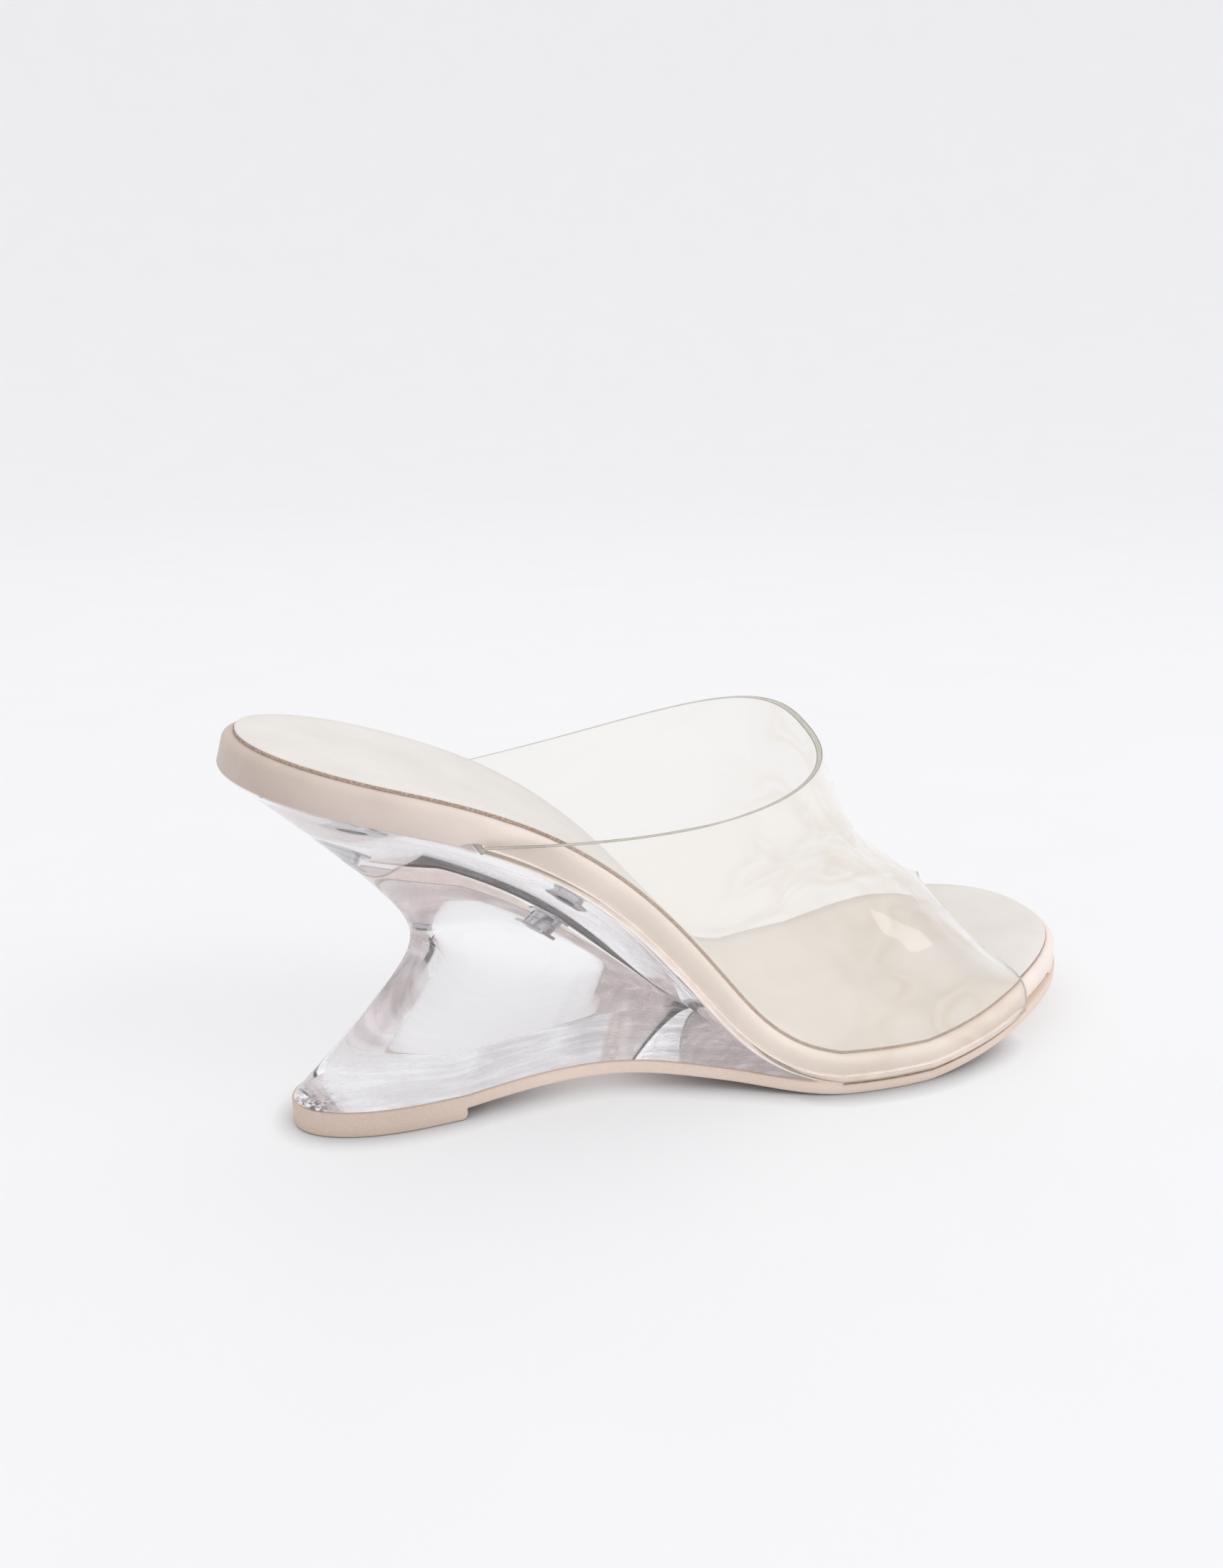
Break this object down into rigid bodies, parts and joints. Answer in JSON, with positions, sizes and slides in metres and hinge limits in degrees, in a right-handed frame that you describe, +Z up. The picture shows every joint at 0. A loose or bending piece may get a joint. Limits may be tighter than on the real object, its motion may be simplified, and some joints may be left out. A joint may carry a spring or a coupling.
{
  "type": "wedge shoe",
  "caption": "Open-toe wedge slip-on for the right foot: clear band over a leather-wrapped board with a sock liner, clear wedge with a hollowed back, thin outsole with heel lift.",
  "frame": {"origin": "on the floor, on the flat underside of the heel lift, midway between the lift's back end and its step", "axes": "+X towards the toe, +Y towards the inner (medial) side of the foot, +Z up"},
  "size_m": [0.216, 0.0842, 0.0944],
  "materials": {
    "outsole": "beige synthetic soling, matte",
    "wedge": "clear acrylic, polished",
    "footbed": "nude leather, satin",
    "sock": "cream leather with a raw edge",
    "upper": "clear vinyl, glossy",
    "fasteners": "polished metal"
  },
  "bodies": {
    "root": {"outsole": "outsole", "wedge": "wedge", "footbed": "footbed", "sock": "sock", "upper": "upper", "fastener_rear": "fasteners", "fastener_front": "fasteners"}
  },
  "joints": []
}
